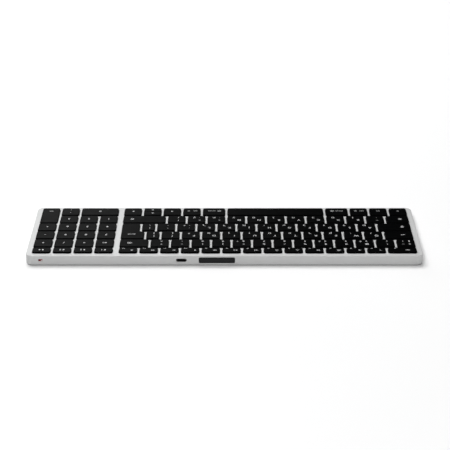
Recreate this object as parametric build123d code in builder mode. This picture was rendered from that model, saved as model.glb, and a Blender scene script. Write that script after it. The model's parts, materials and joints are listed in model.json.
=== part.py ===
"""Slim wireless keyboard with an integrated numeric keypad.

A one-piece aluminium case carries a sloping deck pierced by the key openings, and a flat
plastic cover closes it from below. Under the deck hang a steel support plate and a printed
membrane; each keycap stands on a rubber dome and a pair of crossed levers. The controller
board, its USB-C socket, the power switch and the battery lie on the cover near the rear edge.

Millimetres. X runs to the typist's right, Y to the rear edge, Z up. The origin is on the
desk under the middle of the case.
"""

import os
from collections import namedtuple
from math import asin, cos, degrees, radians, sin, tan

from build123d import *

# ---------------------------------------------------------------- driving dimensions

# Key grid
KEY_PITCH = 19.05  # from key to key and from row to row
DECK_BAR = 1.6  # deck left between two key openings
BLOCK_BAR = 5.0  # deck left between the main block and the keypad block
FUNCTION_DEPTH = 10.88  # front to back of a function key's opening
OPENING_RADIUS = 2.65
RETURN_RADIUS = 2.3  # corners of the return key's opening, whose step is narrow
MAIN_PITCHES = 14.5
KEYPAD_PITCHES = 4
FULL_ROWS = 5

# Case
SIDE_MARGIN = 4.905
FRONT_MARGIN = 4.81
REAR_MARGIN = 5.41
CASE_CORNER = 6.0
CASE_WALL = 1.6
DECK_THICKNESS = 1.2
DECK_TILT = 2.0  # degrees, rising to the rear
REAR_HEIGHT = 9.8  # rear edge of the deck above the desk
RIM_Z = 0.63  # lower edge of the case wall
DECK_CHAMFER = 0.25
RIM_FILLET = 0.5

# Keycaps, measured from the deck's upper face
KEY_SLIT = 0.45  # between a cap and its opening
CAP_ABOVE = 1.6
CAP_BELOW = 0.8
CAP_ROOF = 1.2
CAP_WALL = 0.9
CAP_EDGE = 0.25
HALF_KEY_SLIT = 0.5  # between the up and down arrow caps
HALF_KEY_RADIUS = 1.2
DOME_SEAT = 0.3  # drop of the seat under the cap's ceiling
DOME_SEAT_RADIUS = 1.5
RETAINER_DROP = 0.6
RETAINER_SIZE = (1.1, 0.6)
RETAINER_SPACING = 4.4
RETAINER_SIDE_GAP = 0.15

# Sheets under the deck, measured down from its upper face
MEMBRANE_TOP = -2.5
MEMBRANE_THICKNESS = 0.3
PLATE_THICKNESS = 0.6

# Levers and domes
LEVER_WIDTH = 12.6
LEVER_LENGTH = 12.0
LEVER_BAR = 1.0
LEVER_THICKNESS = 0.7
LEVER_CLEARANCE = 0.06
LEVER_SIDE_GAP = 0.5
LEVER_CAP_GAP = 0.4  # between a lever and the wall of its cap
INNER_LEVER_SHORTER = 0.8
RETAINER_GAP = 0.6  # from the inner lever's bar to the middle of a retainer
DOME_RADIUS = 3.2
LONE_DOME_RADIUS = 2.2  # between the two mechanisms of a wide key
DOME_WALL = 0.4
WIRE_RADIUS = 0.4

# Bottom cover and feet
COVER_BOTTOM = 0.2
COVER_THICKNESS = 1.0
COVER_GAP = 0.12
COVER_SETBACK = 0.5  # of the flange under the rim, from the outside of the case
RIM_GAP = 0.05
FOOT_SIZE = (26, 8)
FOOT_RECESS = 0.4
FOOT_GAP = 0.1
STANDOFF_RADIUS = 1.6
FENCE_HEIGHT = 0.8
FENCE_WALL = 1.0
FENCE_GAP = 0.6
FEET_AT = [(x, y) for x in (-150, 0, 150) for y in (-45, 45)]

# Screws
BOSS_RADIUS = 1.6
CASE_SCREW_RADIUS = 0.75
CASE_SCREW_HEAD = 1.6
CASE_SCREW_GRIP = 2.4  # thread inside the boss
PLATE_BOSS_RADIUS = 1.3
PLATE_SCREW_RADIUS = 0.5
PLATE_SCREW_HEAD = 1.1
PLATE_SCREW_HEAD_THICKNESS = 0.4
PLATE_SCREW_INSET = 1.7  # from the edge of the keys to a screw in a margin
THREAD_CLEARANCE = 0.05

# Rear wall fittings: X of each centre, and height above the desk
USB_X = 39.5
USB_SHELL = (8.94, 3.2)
USB_MOUTH = (8.34, 2.56)
USB_TONGUE = (6.69, 0.7)
USB_DEPTH = 6.9
USB_SLOT_GAP = (0.4, 0.15)
USB_RECESS = 0.55
WINDOW_X = 7.0
WINDOW_SIZE = (33.3, 5.9)
WINDOW_Z = 5.42
WINDOW_RADIUS = 1.2
WINDOW_GAP = 0.08
WINDOW_FLANGE = 0.8
SWITCH_X = 168.4
SWITCH_SLOT = (3.9, 2.1)
SWITCH_Z = 5.65
KNOB_SIZE = (1.6, 1.5)
KNOB_RECESS = 0.3
SWITCH_TRAVEL = 2.0
SWITCH_HOUSING_WIDTH = 11.2
SWITCH_HOUSING_DEPTH = 2.7
SWITCH_HOUSING_TOP = 7.5  # height above the desk
SHUTTER_SIZE = (6.4, 2.9)  # plate behind the wall that closes the slot round the knob
SHUTTER_THICKNESS = 1.1
SWITCH_GAP = 0.2

# Controller board and battery
BOARD_X = (-12, 174)
BOARD_Y = (43.5, 55.4)
BOARD_Z = 3.0
BOARD_THICKNESS = 0.8
BATTERY_SIZE = (80, 34, 2.4)
BATTERY_CENTRE = (-70, 17)
BATTERY_LEAD_Y = 27
BOARD_LEAD_Y = 47.5
STANDOFF_XS = (5, 65, 115, 168)
LEAD_RADIUS = 0.35
LEAD_SPACING = 1.2
LEAD_HEIGHT = 2.5  # above the desk
BATTERY_PLUG = (5, 4.4, 1.1)  # connector under the board
LIGHT_PIPE_RADIUS = 0.45
LIGHT_PIPE_DEPTH = 4.6

# ---------------------------------------------------------------- worked-out dimensions

OPENING = KEY_PITCH - DECK_BAR
KEYS_WIDTH = (MAIN_PITCHES + KEYPAD_PITCHES) * KEY_PITCH - 2 * DECK_BAR + BLOCK_BAR
CASE_WIDTH = KEYS_WIDTH + 2 * SIDE_MARGIN
DECK_DEPTH = FRONT_MARGIN + FULL_ROWS * KEY_PITCH + FUNCTION_DEPTH + REAR_MARGIN
TILT = radians(DECK_TILT)
CASE_DEPTH = DECK_DEPTH * cos(TILT)
DECK_MIDDLE_Z = REAR_HEIGHT - DECK_DEPTH / 2 * sin(TILT)
COVER_TOP = COVER_BOTTOM + COVER_THICKNESS
PLATE_TOP = MEMBRANE_TOP - MEMBRANE_THICKNESS
PLATE_BOTTOM = PLATE_TOP - PLATE_THICKNESS
CAP_CEILING = CAP_ABOVE - CAP_ROOF
BOARD_TOP = BOARD_Z + BOARD_THICKNESS
USB_Z = BOARD_TOP + USB_SHELL[1] / 2
REAR_FACE = CASE_DEPTH / 2
WALL_INSIDE = REAR_FACE - CASE_WALL
KEYS_LEFT = -KEYS_WIDTH / 2
KEYPAD_LEFT = KEYS_WIDTH / 2 - KEYPAD_PITCHES * KEY_PITCH + DECK_BAR
KEYS_FRONT = -DECK_DEPTH / 2 + FRONT_MARGIN
KEYS_REAR = DECK_DEPTH / 2 - REAR_MARGIN
BLOCK_BAR_X = KEYPAD_LEFT - BLOCK_BAR / 2

# The deck plane: its x and y are used for everything that hangs from the deck.
DECK = Plane(origin=(0, 0, DECK_MIDDLE_Z), x_dir=(1, 0, 0), z_dir=(0, -sin(TILT), cos(TILT)))
DECK_NORMAL = Axis(DECK.origin, DECK.z_dir)
DECK_UNDERSIDE = DECK.offset(-DECK_THICKNESS)
REAR_PLANE = Plane(origin=(0, REAR_FACE, 0), x_dir=(-1, 0, 0), z_dir=(0, 1, 0))


def deck_z(y):
    """Height of the deck's upper face over the desk at a given Y."""
    return DECK_MIDDLE_Z + y * tan(TILT)


# ---------------------------------------------------------------- key layout

Key = namedtuple("Key", "node x y width depth")


def row_y(row):
    """Deck y of a row's middle; row 0 is the front row and row 5 the function row."""
    depth = FUNCTION_DEPTH if row == FULL_ROWS else OPENING
    return KEYS_FRONT + row * KEY_PITCH + depth / 2


def key_row(row, left, widths):
    """One row of key openings from left to right, as (node, width in pitches) pairs."""
    depth = FUNCTION_DEPTH if row == FULL_ROWS else OPENING
    keys = []
    for node, pitches in widths:
        width = pitches * KEY_PITCH - DECK_BAR
        keys.append(Key(node, left + width / 2, row_y(row), width, depth))
        left += pitches * KEY_PITCH
    return keys


def repeated(node, count, pitches=1):
    return [(node, pitches)] * count


MAIN_ROWS = [
    repeated("left_modifier_keys", 3)
    + [("left_modifier_keys", 1.25), ("space_bar", 5)]
    + [("right_modifier_keys", 1.25), ("right_modifier_keys", 1)]
    + [("left_arrow_key", 1), ("arrow_pair", 1), ("right_arrow_key", 1)],
    [("left_shift_key", 1.25)] + repeated("lower_letter_keys", 11) + [("right_shift_key", 2.25)],
    [("caps_lock_key", 1.75)]
    + repeated("home_letter_keys", 11)
    + [("home_letter_keys", 0.75), ("return_lower", 1)],
    [("tab_key", 1.5)]
    + repeated("upper_letter_keys", 11)
    + [("upper_letter_keys", 0.75), ("return_upper", 1.25)],
    repeated("number_row_keys", 13) + [("delete_key", 1.5)],
    [("escape_key", 1.5)] + repeated("function_keys", 13),
]

KEYPAD_ROWS = [
    [("keypad_0_key", 2), ("keypad_decimal_key", 1), ("enter_lower", 1)],
    [("keypad_1_key", 1), ("keypad_2_key", 1), ("keypad_3_key", 1), ("enter_upper", 1)],
    [("keypad_4_key", 1), ("keypad_5_key", 1), ("keypad_6_key", 1), ("keypad_plus_key", 1)],
    [("keypad_7_key", 1), ("keypad_8_key", 1), ("keypad_9_key", 1), ("keypad_minus_key", 1)],
    [("keypad_clear_key", 1), ("keypad_equals_key", 1)]
    + [("keypad_divide_key", 1), ("keypad_multiply_key", 1)],
    [(f"keypad_function_{number}_key", 1) for number in (1, 2, 3, 4)],
]

GRID = {}
for row, widths in enumerate(MAIN_ROWS):
    for key in key_row(row, KEYS_LEFT, widths):
        GRID.setdefault(key.node, []).append(key)
for row, widths in enumerate(KEYPAD_ROWS):
    for key in key_row(row, KEYPAD_LEFT, widths):
        GRID.setdefault(key.node, []).append(key)

# The keypad's enter key is one pitch wide and two rows deep.
enter_low = GRID.pop("enter_lower")[0]
enter_high = GRID.pop("enter_upper")[0]
GRID["keypad_enter_key"] = [
    Key("keypad_enter_key", enter_low.x, (enter_low.y + enter_high.y) / 2, OPENING, KEY_PITCH + OPENING)
]

# The return key is an L: its upper arm is wider than its lower one, and both end flush right.
return_low = GRID.pop("return_lower")[0]
return_high = GRID.pop("return_upper")[0]

# The up and down arrows are half-depth caps that share one opening.
arrow_pair = GRID.pop("arrow_pair")[0]
HALF_DEPTH = (OPENING - 2 * KEY_SLIT - HALF_KEY_SLIT) / 2
half_shift = (HALF_DEPTH + HALF_KEY_SLIT) / 2
arrow_width = arrow_pair.width - 2 * KEY_SLIT
up_cap = Key("up_arrow_key", arrow_pair.x, arrow_pair.y + half_shift, arrow_width, HALF_DEPTH)
down_cap = Key("down_arrow_key", arrow_pair.x, arrow_pair.y - half_shift, arrow_width, HALF_DEPTH)


def rounded_keys(keys, inset, radius=OPENING_RADIUS):
    """Rounded rectangles of some keys, drawn in the current sketch and shrunk by inset."""
    for width, depth in sorted({(key.width, key.depth) for key in keys}):
        with Locations(*[(key.x, key.y) for key in keys if (key.width, key.depth) == (width, depth)]):
            RectangleRounded(width - 2 * inset, depth - 2 * inset, max(radius - inset, 0.3))


def return_outline(inset):
    """The return key's L, drawn in the current sketch and shrunk by inset all round."""
    right = return_low.x + return_low.width / 2 - inset
    front = return_low.y - return_low.depth / 2 + inset
    rear = return_high.y + return_high.depth / 2 - inset
    step_y = return_high.y - return_high.depth / 2 + inset
    left_low = return_low.x - return_low.width / 2 + inset
    left_high = return_high.x - return_high.width / 2 + inset
    corners = [(right, front), (right, rear), (left_high, rear)]
    corners += [(left_high, step_y), (left_low, step_y), (left_low, front)]
    with BuildSketch() as outline:
        with BuildLine():
            Polyline(*corners, close=True)
        make_face()
        fillet(outline.vertices(), RETURN_RADIUS - inset)
    add(outline.sketch)


# ---------------------------------------------------------------- lever mechanisms

# A mechanism is one pair of crossed levers. Wide keys stand on two, either side of the dome.
Mechanism = namedtuple("Mechanism", "x y width length")


def mechanisms_of(x, y, cap_width, cap_depth):
    """The lever pairs under one cap of the given outer size."""
    taken = 2 * (CAP_WALL + LEVER_CAP_GAP)
    width = round(min(LEVER_WIDTH, cap_width - taken), 3)
    length = round(min(LEVER_LENGTH, cap_depth - taken), 3)
    if cap_width > 2 * KEY_PITCH - DECK_BAR - 1:
        return [Mechanism(x + side * cap_width / 4, y, width, length) for side in (-1, 1)]
    if cap_depth > 2 * KEY_PITCH - DECK_BAR - 1:
        return [Mechanism(x, y + side * cap_depth / 4, width, length) for side in (-1, 1)]
    return [Mechanism(x, y, width, length)]


CAP_INSET = 2 * KEY_SLIT
MECHANISMS = {
    node: [
        mechanism
        for key in keys
        for mechanism in mechanisms_of(key.x, key.y, key.width - CAP_INSET, key.depth - CAP_INSET)
    ]
    for node, keys in GRID.items()
}
RETURN_X = return_low.x
MECHANISMS["return_key"] = [
    Mechanism(RETURN_X, arm.y, LEVER_WIDTH, LEVER_LENGTH) for arm in (return_low, return_high)
]
for cap in (up_cap, down_cap):
    MECHANISMS[cap.node] = mechanisms_of(cap.x, cap.y, cap.width, cap.depth)
ALL_MECHANISMS = [mechanism for group in MECHANISMS.values() for mechanism in group]

# One dome under the middle of every cap
DOMES = [(key.x, key.y) for keys in GRID.values() for key in keys]
DOMES += [(cap.x, cap.y) for cap in (up_cap, down_cap)]
DOMES += [(RETURN_X, (return_low.y + return_high.y) / 2)]

MECHANISM_SIZES = sorted({(m.width, m.length) for m in ALL_MECHANISMS})


def places_of(size):
    """Every place where a mechanism of this size stands."""
    return [(m.x, m.y) for m in ALL_MECHANISMS if (m.width, m.length) == size]


def lever_slope(length):
    """Angle of a lever that reaches from the membrane to the ceiling of its cap."""
    half_rise = (CAP_CEILING - MEMBRANE_TOP) / 2 - LEVER_CLEARANCE - LEVER_THICKNESS / 2
    return degrees(asin(half_rise / (length / 2)))


def inner_size(mechanism):
    """Outside width and length of the inner lever of a pair."""
    return mechanism.width - 2 * (LEVER_BAR + LEVER_SIDE_GAP), mechanism.length - INNER_LEVER_SHORTER


def retainer_reach(mechanism):
    """Distance from a mechanism's middle to the cap's retainers, inside the inner lever."""
    return inner_size(mechanism)[1] / 2 - LEVER_BAR - RETAINER_GAP


def dome_radius(mechanism):
    """The largest dome that stands inside the inner lever."""
    width, length = inner_size(mechanism)
    return min(DOME_RADIUS, width / 2 - LEVER_BAR - 0.1, length / 2 - LEVER_BAR - 0.1)


# ---------------------------------------------------------------- screw positions

FRONT_BOSS_Y = -(WALL_INSIDE - BOSS_RADIUS + 0.2)
SIDE_BOSS_X = CASE_WIDTH / 2 - CASE_WALL - BOSS_RADIUS + 0.2
CASE_SCREWS = [(x, y) for x in (-150, -50, 50, 150) for y in (FRONT_BOSS_Y, -FRONT_BOSS_Y)]
CASE_SCREWS += [(-SIDE_BOSS_X, 0), (SIDE_BOSS_X, 0), (BLOCK_BAR_X, 0)]

KEYPAD_BAR_X = KEYPAD_LEFT + 2 * KEY_PITCH - DECK_BAR / 2
KEYPAD_BAR_YS = [KEYS_FRONT + rows * KEY_PITCH - DECK_BAR / 2 for rows in (2, 4)]
PLATE_EDGE_Y = KEYS_FRONT - PLATE_SCREW_INSET
PLATE_REAR_Y = KEYS_REAR + PLATE_SCREW_INSET
PLATE_SIDE_X = KEYS_WIDTH / 2 + PLATE_SCREW_INSET
PLATE_SCREWS = [(x, PLATE_EDGE_Y) for x in (-174, -100, 0, 100, 174)]
PLATE_SCREWS += [(x, PLATE_REAR_Y) for x in (-174, -100, 70, 125)]
PLATE_SCREWS += [(side * PLATE_SIDE_X, y) for side in (-1, 1) for y in (-30, 30)]
PLATE_SCREWS += [(BLOCK_BAR_X, y) for y in (-35, 35)]
PLATE_SCREWS += [(KEYPAD_BAR_X, y) for y in KEYPAD_BAR_YS]

LIGHT_PIPES = [
    (KEYPAD_LEFT + pitches * KEY_PITCH - DECK_BAR / 2, DECK_DEPTH / 2 - REAR_MARGIN / 2)
    for pitches in (2, 3)
]

os.makedirs("parts", exist_ok=True)


def save(builder, label):
    """Labels a finished piece and writes it."""
    builder.part.label = label
    export_step(builder.part, f"parts/{label}.step")


# ---------------------------------------------------------------- case

with BuildPart() as cavity:
    with BuildSketch(Plane.XY.offset(RIM_Z - 1)):
        RectangleRounded(
            CASE_WIDTH - 2 * CASE_WALL, CASE_DEPTH - 2 * CASE_WALL, CASE_CORNER - CASE_WALL
        )
    extrude(amount=REAR_HEIGHT)
    split(bisect_by=DECK_UNDERSIDE, keep=Keep.BOTTOM)

with BuildPart() as top_case:
    with BuildSketch(Plane.XY.offset(RIM_Z)):
        RectangleRounded(CASE_WIDTH, CASE_DEPTH, CASE_CORNER)
    extrude(amount=REAR_HEIGHT)
    split(bisect_by=DECK, keep=Keep.BOTTOM)
    chamfer(top_case.faces().sort_by(DECK_NORMAL)[-1].outer_wire().edges(), DECK_CHAMFER)
    fillet(top_case.faces().sort_by(Axis.Z)[0].outer_wire().edges(), RIM_FILLET)
    add(cavity.part, mode=Mode.SUBTRACT)
    # Bosses for the cover's screws, from the cover up into the deck
    for x, y in CASE_SCREWS:
        with BuildSketch(Plane.XY.offset(COVER_TOP)):
            with Locations((x, y)):
                Circle(BOSS_RADIUS)
        extrude(amount=deck_z(y) - DECK_THICKNESS / 2 - COVER_TOP)
    # Short bosses for the support plate's screws
    with BuildSketch(DECK.offset(PLATE_TOP)):
        with Locations(*PLATE_SCREWS):
            Circle(PLATE_BOSS_RADIUS)
    extrude(amount=-PLATE_TOP - DECK_THICKNESS / 2)
    # Key openings
    with BuildSketch(DECK):
        rounded_keys([key for keys in GRID.values() for key in keys] + [arrow_pair], inset=0)
        return_outline(inset=0)
    extrude(amount=-2 * DECK_THICKNESS, mode=Mode.SUBTRACT)
    # Indicator holes in the rear margin
    with BuildSketch(DECK):
        with Locations(*LIGHT_PIPES):
            Circle(LIGHT_PIPE_RADIUS + THREAD_CLEARANCE)
    extrude(amount=-2 * DECK_THICKNESS, mode=Mode.SUBTRACT)
    # Tapped holes
    with BuildSketch(Plane.XY.offset(COVER_TOP)):
        with Locations(*CASE_SCREWS):
            Circle(CASE_SCREW_RADIUS + THREAD_CLEARANCE)
    extrude(amount=CASE_SCREW_GRIP + 0.2, mode=Mode.SUBTRACT)
    with BuildSketch(DECK.offset(PLATE_TOP)):
        with Locations(*PLATE_SCREWS):
            Circle(PLATE_SCREW_RADIUS + THREAD_CLEARANCE)
    extrude(amount=-PLATE_TOP - DECK_THICKNESS, mode=Mode.SUBTRACT)
    # Rear wall: USB-C slot, switch slot and antenna window. Sketch x runs to the left here.
    with BuildSketch(REAR_PLANE):
        with Locations((-USB_X, USB_Z)):
            SlotOverall(*[side + 2 * gap for side, gap in zip(USB_SHELL, USB_SLOT_GAP)])
        with Locations((-SWITCH_X, SWITCH_Z)):
            RectangleRounded(*SWITCH_SLOT, 0.5)
        with Locations((-WINDOW_X, WINDOW_Z)):
            RectangleRounded(*WINDOW_SIZE, WINDOW_RADIUS)
    extrude(amount=-CASE_WALL - 0.01, mode=Mode.SUBTRACT)
save(top_case, "top_case")

with BuildPart() as bottom_cover:
    # A flange under the case's rim, and the plate that fits inside the walls
    layers = [(COVER_SETBACK, RIM_Z - RIM_GAP - COVER_BOTTOM), (CASE_WALL + COVER_GAP, COVER_THICKNESS)]
    for inset, thickness in layers:
        with BuildSketch(Plane.XY.offset(COVER_BOTTOM)):
            RectangleRounded(CASE_WIDTH - 2 * inset, CASE_DEPTH - 2 * inset, CASE_CORNER - inset)
        extrude(amount=thickness)
    fillet(bottom_cover.faces().sort_by(Axis.Z)[0].outer_wire().edges(), 0.1)
    # Shallow seats for the feet
    with BuildSketch(Plane.XY.offset(COVER_BOTTOM)):
        with Locations(*FEET_AT):
            SlotOverall(FOOT_SIZE[0] + 2 * FOOT_GAP, FOOT_SIZE[1] + 2 * FOOT_GAP)
    extrude(amount=FOOT_RECESS, mode=Mode.SUBTRACT)
    # Standoffs under the controller board
    with BuildSketch(Plane.XY.offset(COVER_TOP)):
        with Locations(*[(x, BOARD_LEAD_Y) for x in STANDOFF_XS]):
            Circle(STANDOFF_RADIUS)
    extrude(amount=BOARD_Z - COVER_TOP)
    # Low fence round the battery
    with BuildSketch(Plane.XY.offset(COVER_TOP)):
        with Locations(BATTERY_CENTRE):
            outer, inner = 2 * (FENCE_GAP + FENCE_WALL), 2 * FENCE_GAP
            Rectangle(BATTERY_SIZE[0] + outer, BATTERY_SIZE[1] + outer)
            Rectangle(BATTERY_SIZE[0] + inner, BATTERY_SIZE[1] + inner, mode=Mode.SUBTRACT)
        # Gap for the leads
        fence_x = BATTERY_CENTRE[0] + (BATTERY_SIZE[0] + inner + FENCE_WALL) / 2
        with Locations((fence_x, BATTERY_LEAD_Y)):
            Rectangle(3 * FENCE_WALL, 6, mode=Mode.SUBTRACT)
    extrude(amount=FENCE_HEIGHT)
    # Screw holes, countersunk from below
    with Locations(*[Location((x, y, COVER_BOTTOM), (180, 0, 0)) for x, y in CASE_SCREWS]):
        CounterSinkHole(
            CASE_SCREW_RADIUS + 0.2, CASE_SCREW_HEAD + 0.1, depth=COVER_THICKNESS, counter_sink_angle=90
        )
save(bottom_cover, "bottom_cover")

with BuildPart() as rubber_feet:
    with BuildSketch(Plane.XY):
        with Locations(*FEET_AT):
            SlotOverall(*FOOT_SIZE)
    extrude(amount=COVER_BOTTOM + FOOT_RECESS)
    fillet(rubber_feet.faces().group_by(Axis.Z)[0].edges(), 0.25)
save(rubber_feet, "rubber_feet")

# ---------------------------------------------------------------- screws

with BuildPart() as case_screw:
    head_cone = CASE_SCREW_HEAD - CASE_SCREW_RADIUS
    with BuildSketch(Plane.XZ):
        with BuildLine():
            Polyline(
                (0, 0),
                (CASE_SCREW_HEAD, 0),
                (CASE_SCREW_RADIUS, head_cone),
                (CASE_SCREW_RADIUS, COVER_THICKNESS + CASE_SCREW_GRIP),
                (0, COVER_THICKNESS + CASE_SCREW_GRIP),
                close=True,
            )
        make_face()
    revolve(axis=Axis.Z)
    with BuildSketch(Plane.XY):
        RegularPolygon(0.75, 6)
    extrude(amount=0.5, mode=Mode.SUBTRACT)

with BuildPart() as case_screws:
    with Locations(*[(x, y, COVER_BOTTOM) for x, y in CASE_SCREWS]):
        add(case_screw.part)
save(case_screws, "case_screws")

with BuildPart() as plate_screw:
    with BuildSketch(Plane.XY.offset(PLATE_BOTTOM)):
        Circle(PLATE_SCREW_HEAD)
    extrude(amount=-PLATE_SCREW_HEAD_THICKNESS)
    with BuildSketch(Plane.XY.offset(PLATE_BOTTOM)):
        Circle(PLATE_SCREW_RADIUS)
    extrude(amount=PLATE_THICKNESS + 1.2)

with BuildPart(DECK) as plate_screws:
    with Locations(*PLATE_SCREWS):
        add(plate_screw.part)
save(plate_screws, "plate_screws")

# ---------------------------------------------------------------- sheets under the deck


def boss_clearance(radius):
    """Room for the cover screws' bosses, drawn in the current sketch on the deck plane."""
    with Locations(*[(x, y / cos(TILT)) for x, y in CASE_SCREWS]):
        Circle(BOSS_RADIUS + radius, mode=Mode.SUBTRACT)


def usb_clearance():
    """Notch over the USB-C socket, which reaches up into the level of the sheets."""
    with Locations((USB_X, KEYS_REAR)):
        Rectangle(USB_SHELL[0] + 1.6, 5, mode=Mode.SUBTRACT)


with BuildPart(DECK) as membrane_circuit:
    with BuildSketch(DECK.offset(PLATE_TOP)):
        with Locations((0, (KEYS_FRONT + KEYS_REAR) / 2)):
            RectangleRounded(KEYS_WIDTH + 0.4, KEYS_REAR - KEYS_FRONT + 0.4, 2)
        boss_clearance(0.5)
        usb_clearance()
        with Locations(*PLATE_SCREWS):
            Circle(PLATE_BOSS_RADIUS + 0.3, mode=Mode.SUBTRACT)
    extrude(amount=MEMBRANE_THICKNESS)
save(membrane_circuit, "membrane_circuit")

with BuildPart(DECK) as support_plate:
    with BuildSketch(DECK.offset(PLATE_BOTTOM)):
        with Locations((0, (KEYS_FRONT + KEYS_REAR) / 2)):
            RectangleRounded(KEYS_WIDTH + 1.6, KEYS_REAR - KEYS_FRONT + 1.6, 2)
        # Ears that reach the screws in the margins
        with Locations(*PLATE_SCREWS):
            Circle(PLATE_BOSS_RADIUS + 0.2)
        boss_clearance(0.4)
        usb_clearance()
        with Locations(*PLATE_SCREWS):
            Circle(PLATE_SCREW_RADIUS + 0.1, mode=Mode.SUBTRACT)
        # Two stamped windows under every lever pair
        for width, length in MECHANISM_SIZES:
            with Locations(*places_of((width, length))):
                with GridLocations(0, length - 2.4, 1, 2):
                    Rectangle(width / 2, 1.2, mode=Mode.SUBTRACT)
    extrude(amount=PLATE_THICKNESS)
save(support_plate, "support_plate")

# ---------------------------------------------------------------- domes, levers, wires


def dome(radius):
    """A hollow rubber dome standing on the plane z = MEMBRANE_TOP."""
    height = CAP_CEILING - DOME_SEAT - MEMBRANE_TOP - LEVER_CLEARANCE
    crown = 0.55 * radius
    with BuildPart() as one_dome:
        with BuildSketch(Plane.XZ):
            with BuildLine():
                Polyline(
                    (radius, MEMBRANE_TOP),
                    (radius, MEMBRANE_TOP + 0.2),
                    (crown, MEMBRANE_TOP + 0.7 * height),
                    (crown, MEMBRANE_TOP + height),
                    (0, MEMBRANE_TOP + height),
                    (0, MEMBRANE_TOP + 0.6 * height),
                    (crown - DOME_WALL, MEMBRANE_TOP + 0.6 * height),
                    (radius - DOME_WALL, MEMBRANE_TOP),
                    close=True,
                )
            make_face()
        revolve(axis=Axis.Z)
    return one_dome.part


def lever(width, length, slope, stubs=0.0):
    """A flat ring on a plane that slopes about X, centred between cap and membrane.

    stubs is how far the pivot stubs stand out at each side.
    """
    middle = (CAP_CEILING + MEMBRANE_TOP) / 2
    tilted = Plane(origin=(0, 0, middle), x_dir=(1, 0, 0), z_dir=Vector(0, 0, 1).rotate(Axis.X, slope))
    with BuildPart() as one_lever:
        with BuildSketch(tilted):
            RectangleRounded(width, length, 0.6)
            if stubs:
                Rectangle(width + 2 * stubs, 0.7)
            Rectangle(width - 2 * LEVER_BAR, length - 2 * LEVER_BAR, mode=Mode.SUBTRACT)
        extrude(amount=LEVER_THICKNESS / 2, both=True)
    return one_lever.part


with BuildPart(DECK) as rubber_domes:
    for size in MECHANISM_SIZES:
        radius = dome_radius(Mechanism(0, 0, *size))
        spots = [spot for spot in places_of(size) if spot in DOMES]
        if spots:
            one = dome(radius)
            with Locations(*spots):
                add(one, clean=False)
    # Under the keys that stand on two mechanisms
    lone_spots = [spot for spot in DOMES if spot not in [(m.x, m.y) for m in ALL_MECHANISMS]]
    one = dome(LONE_DOME_RADIUS)
    with Locations(*lone_spots):
        add(one, clean=False)
save(rubber_domes, "rubber_domes")

with BuildPart(DECK) as scissor_outer_levers:
    for size in MECHANISM_SIZES:
        one = lever(*size, slope=lever_slope(size[1]))
        with Locations(*places_of(size)):
            add(one, clean=False)
save(scissor_outer_levers, "scissor_outer_levers")

with BuildPart(DECK) as scissor_inner_levers:
    for size in MECHANISM_SIZES:
        width, length = inner_size(Mechanism(0, 0, *size))
        one = lever(width, length, slope=-lever_slope(length), stubs=LEVER_SIDE_GAP - 0.05)
        with Locations(*places_of(size)):
            add(one, clean=False)
save(scissor_inner_levers, "scissor_inner_levers")


def stabiliser(x, y, span, upright=False):
    """A bent wire that keeps a long cap level: its bar lies under the cap, its arms reach down.

    span is the length of the bar. An upright one runs along Y, for the deep enter key.
    """
    bar_height = CAP_CEILING - WIRE_RADIUS - 0.05
    foot_height = MEMBRANE_TOP + WIRE_RADIUS + 0.05
    bar_at = OPENING / 2 - KEY_SLIT - CAP_WALL - WIRE_RADIUS - 0.15
    foot_at = -2.0
    corners = [
        (-span / 2, foot_at, foot_height),
        (-span / 2, bar_at, bar_height),
        (span / 2, bar_at, bar_height),
        (span / 2, foot_at, foot_height),
    ]
    with BuildPart() as wire:
        with BuildLine():
            path = FilletPolyline(*corners, radius=1.2)
        with BuildSketch(Plane(origin=path @ 0, z_dir=path % 0)):
            Circle(WIRE_RADIUS)
        sweep()
    turn = -90 if upright else 0
    return wire.part.moved(Location((x, y, 0), (0, 0, turn)))


def cap_middle(node):
    key = GRID[node][0]
    return key.x, key.y


with BuildPart(DECK) as stabiliser_bars:
    wires = [
        stabiliser(*cap_middle("space_bar"), span=5 * KEY_PITCH - 12),
        stabiliser(*cap_middle("right_shift_key"), span=2.25 * KEY_PITCH - 6),
        stabiliser(*cap_middle("keypad_0_key"), span=2 * KEY_PITCH - 6),
        stabiliser(*cap_middle("keypad_enter_key"), span=2 * KEY_PITCH - 6, upright=True),
        stabiliser(RETURN_X, (return_low.y + return_high.y) / 2, span=2 * KEY_PITCH - 6, upright=True),
    ]
    with Locations((0, 0)):
        add(wires, clean=False)
save(stabiliser_bars, "stabiliser_bars")

# ---------------------------------------------------------------- keycaps


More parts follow.
